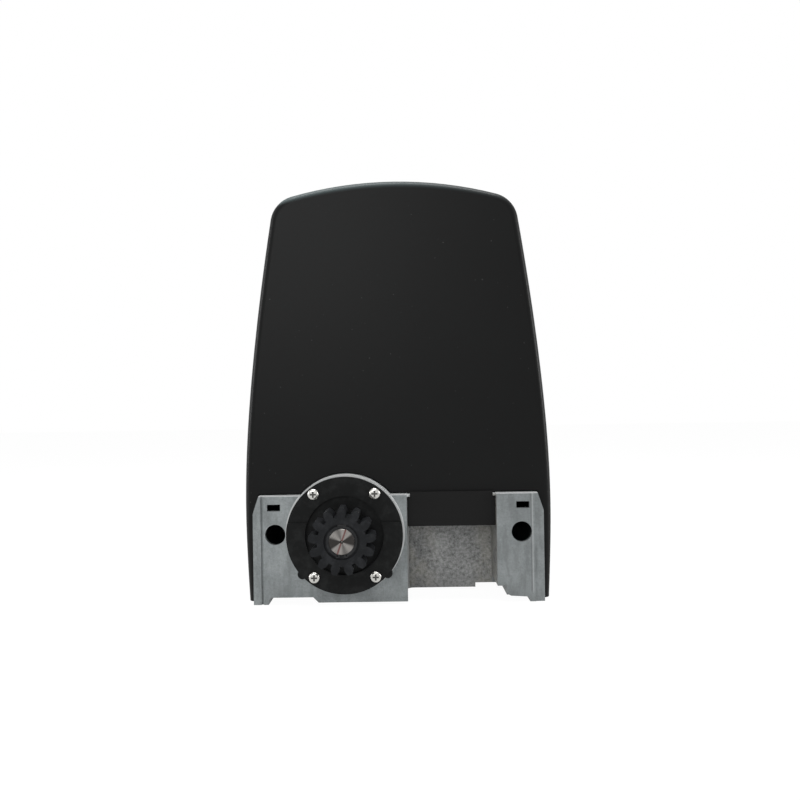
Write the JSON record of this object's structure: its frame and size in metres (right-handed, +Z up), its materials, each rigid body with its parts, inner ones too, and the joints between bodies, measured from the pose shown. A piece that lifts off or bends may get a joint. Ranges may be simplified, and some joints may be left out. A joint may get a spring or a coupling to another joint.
{
  "type": "sliding gate motor",
  "caption": "Sliding gate motor: a worm-geared electric motor under a tall tapered black cover, with a toothed output pinion and release lever.",
  "frame": {"origin": "middle of the four foundation bolt slots, on the plane of the base's feet", "axes": "+Z up along the object's height, -Y towards the gate and its rack, +X to the right as seen from the gate"},
  "size_m": [0.2926, 0.2598, 0.401],
  "materials": {
    "cover_plastic": "satin moulded black",
    "cast_aluminium": "rough die-cast, light grey",
    "motor_casting": "die-cast",
    "flange_black": "satin black",
    "pinion_steel": "oil-blackened steel",
    "shaft_steel": "turned",
    "bright_steel": "zinc-plated",
    "bearing_steel": "ground",
    "lamination_steel": "stacked sheet, varnished",
    "bronze": "machined bronze",
    "copper_winding": "enamelled wire, varnished",
    "brass": "turned",
    "rubber_black": "moulded",
    "gasket_paper": "pressed fibre",
    "capacitor_can": "moulded off-white",
    "carrier_plastic": "moulded dark grey",
    "panel_plastic": "fine-textured black",
    "housing_plastic": "moulded dark grey",
    "lever_plastic": "moulded grey",
    "board_laminate": "solder-masked green",
    "terminal_plastic": "moulded green",
    "relay_plastic": "moulded blue",
    "component_black": "moulded",
    "fuse_glass": "clear",
    "coil_tape": "wrapped yellow tape"
  },
  "bodies": {
    "base": {"base_casting": "cast_aluminium", "levelling_screws": "bright_steel", "cable_grommet": "rubber_black", "earth_screw": "brass", "output_flange": "flange_black", "flange_screws": "bright_steel", "shaft_seal": "rubber_black", "output_bearing_rear": "bearing_steel", "output_bearing_front": "bearing_steel", "worm_bearing_lower": "bearing_steel", "worm_bearing_upper": "bearing_steel", "rotor_bearing_top": "bearing_steel", "gearbox_cover": "motor_casting", "gearbox_gasket": "gasket_paper", "gearbox_cover_screws": "bright_steel", "oil_plug": "brass", "motor_flange": "motor_casting", "motor_end_bell": "motor_casting", "stator_core": "lamination_steel", "stator_windings": "copper_winding", "motor_tie_bolts": "bright_steel", "capacitor_cup": "carrier_plastic", "run_capacitor": "capacitor_can", "board_carrier": "carrier_plastic", "carrier_screws": "bright_steel", "control_board": "board_laminate", "board_screws": "bright_steel", "terminal_blocks": "terminal_plastic", "relays": "relay_plastic", "filter_capacitors": "component_black", "processor_chip": "component_black", "fuse": "fuse_glass", "radio_receiver": "board_laminate", "transformer_core": "lamination_steel", "transformer_coil": "coil_tape", "limit_panel": "panel_plastic", "limit_sensor_board": "board_laminate", "limit_sensors": "component_black", "panel_screws": "bright_steel", "release_housing": "housing_plastic", "housing_screws": "bright_steel", "lever_pin": "shaft_steel"},
    "cover_body": {"cover": "cover_plastic", "cover_screws": "bright_steel", "cover_nuts": "bright_steel"},
    "rotor": {"worm_shaft": "shaft_steel", "rotor_core": "lamination_steel"},
    "output": {"output_shaft": "shaft_steel", "pinion": "pinion_steel", "pinion_key": "shaft_steel", "pinion_circlip": "pinion_steel", "worm_wheel": "bronze", "wheel_key": "shaft_steel", "wheel_circlip": "pinion_steel"},
    "lever": {"release_lever": "lever_plastic"},
    "lock": {"lock_cylinder": "bright_steel"},
    "plunger": {"release_plunger": "shaft_steel"}
  },
  "joints": [
    {"name": "cover_lift", "type": "slide", "parent": "base", "child": "cover_body", "axis": [0, 0, 1], "range_m": [0, 0.42]},
    {"name": "rotor_spin", "type": "hinge", "parent": "base", "child": "rotor", "pos_m": [0.01, -0.005, 0.1], "axis": [0, 0, 1], "continuous": true},
    {"name": "pinion_spin", "type": "hinge", "parent": "base", "child": "output", "pos_m": [-0.05, 0, 0.066], "axis": [0, 1, 0], "continuous": true},
    {"name": "lever_swing", "type": "hinge", "parent": "base", "child": "lever", "pos_m": [-0.05, 0.096, 0.066], "axis": [0, 0, 1], "range_deg": [0, 90]},
    {"name": "lock_turn", "type": "hinge", "parent": "lever", "child": "lock", "pos_m": [0.038, 0.1, 0.066], "axis": [0, 1, 0], "range_deg": [0, 90]},
    {"name": "plunger_slide", "type": "slide", "parent": "base", "child": "plunger", "axis": [0, 1, 0], "range_m": [-0.003, 0]}
  ],
  "couplings": [
    {"joint": "pinion_spin", "follows": "rotor_spin", "ratio": 0.033333},
    {"joint": "plunger_slide", "follows": "lever_swing", "m_per_rad": -0.0019}
  ]
}
